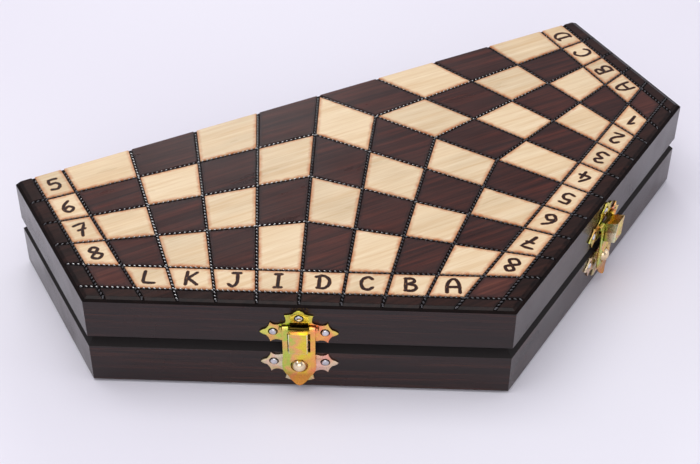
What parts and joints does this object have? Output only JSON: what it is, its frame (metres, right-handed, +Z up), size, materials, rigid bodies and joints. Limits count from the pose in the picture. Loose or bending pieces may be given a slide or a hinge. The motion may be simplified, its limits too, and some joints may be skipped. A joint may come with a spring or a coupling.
{
  "type": "three-player chess set",
  "caption": "Folding wooden box whose two shallow halves open into a hexagonal board for three-player chess, with box latches, butt hinges and fitted chess pieces.",
  "frame": {"origin": "on the underside's flat face, midway between the two side corners, on the line that joins them", "axes": "+Y towards the fold and its hinges, +Z up out of the closed box, +X to the right along the fold"},
  "size_m": [0.2772, 0.1615, 0.042],
  "materials": {
    "board": "stained and varnished plywood with pale and dark fields",
    "stained_wood": "near-black brown stain, glossy varnish",
    "flocked_insert": "green flock on a moulded block",
    "hinge_brass": "brass-plated steel, satin",
    "ball_steel": "polished, pale gold",
    "latch_plate": "yellow chromate, iridescent",
    "pale_wood": "clear varnish",
    "brown_wood": "red-brown stain, varnish",
    "black_wood": "black stain, varnish"
  },
  "bodies": {
    "tray": {"tray_board_panel": "board", "tray_left_wall": "stained_wood", "tray_front_left_wall": "stained_wood", "tray_front_right_wall": "stained_wood", "tray_right_wall": "stained_wood", "tray_back_wall": "stained_wood", "tray_insert": "flocked_insert", "tray_left_hinge_leaf": "hinge_brass", "left_hinge_pin": "hinge_brass", "tray_right_hinge_leaf": "hinge_brass", "right_hinge_pin": "hinge_brass", "front_latch_catch_plate": "latch_plate", "front_latch_ball_stud": "ball_steel", "right_latch_catch_plate": "latch_plate", "right_latch_ball_stud": "ball_steel", "pale_pawns": "pale_wood", "brown_pawns": "brown_wood", "black_pawns": "black_wood"},
    "lid": {"lid_board_panel": "board", "lid_left_wall": "stained_wood", "lid_front_left_wall": "stained_wood", "lid_front_right_wall": "stained_wood", "lid_right_wall": "stained_wood", "lid_back_wall": "stained_wood", "lid_insert": "flocked_insert", "lid_left_hinge_leaf": "hinge_brass", "lid_right_hinge_leaf": "hinge_brass", "front_latch_upper_plate": "latch_plate", "front_latch_pin": "latch_plate", "right_latch_upper_plate": "latch_plate", "right_latch_pin": "latch_plate", "pale_rooks": "pale_wood", "pale_knights": "pale_wood", "pale_bishops": "pale_wood", "pale_queen": "pale_wood", "pale_king": "pale_wood", "brown_rooks": "brown_wood", "brown_knights": "brown_wood", "brown_bishops": "brown_wood", "brown_queen": "brown_wood", "brown_king": "brown_wood", "black_rooks": "black_wood", "black_knights": "black_wood", "black_bishops": "black_wood", "black_queen": "black_wood", "black_king": "black_wood"},
    "front_hasp": {"front_latch_hasp": "latch_plate"},
    "right_hasp": {"right_latch_hasp": "latch_plate"}
  },
  "joints": [
    {"name": "lid_hinge", "type": "hinge", "parent": "tray", "child": "lid", "pos_m": [0, 0.08, 0.021], "axis": [-1, 0, 0], "range_deg": [0, 180]},
    {"name": "front_latch", "type": "hinge", "parent": "lid", "child": "front_hasp", "pos_m": [-0.07001, -0.04126, 0.0319], "axis": [-0.866, 0.5, 0], "range_deg": [0, 68]},
    {"name": "right_latch", "type": "hinge", "parent": "lid", "child": "right_hasp", "pos_m": [0.07001, -0.04126, 0.0319], "axis": [-0.866, -0.5, 0], "range_deg": [0, 68]}
  ]
}
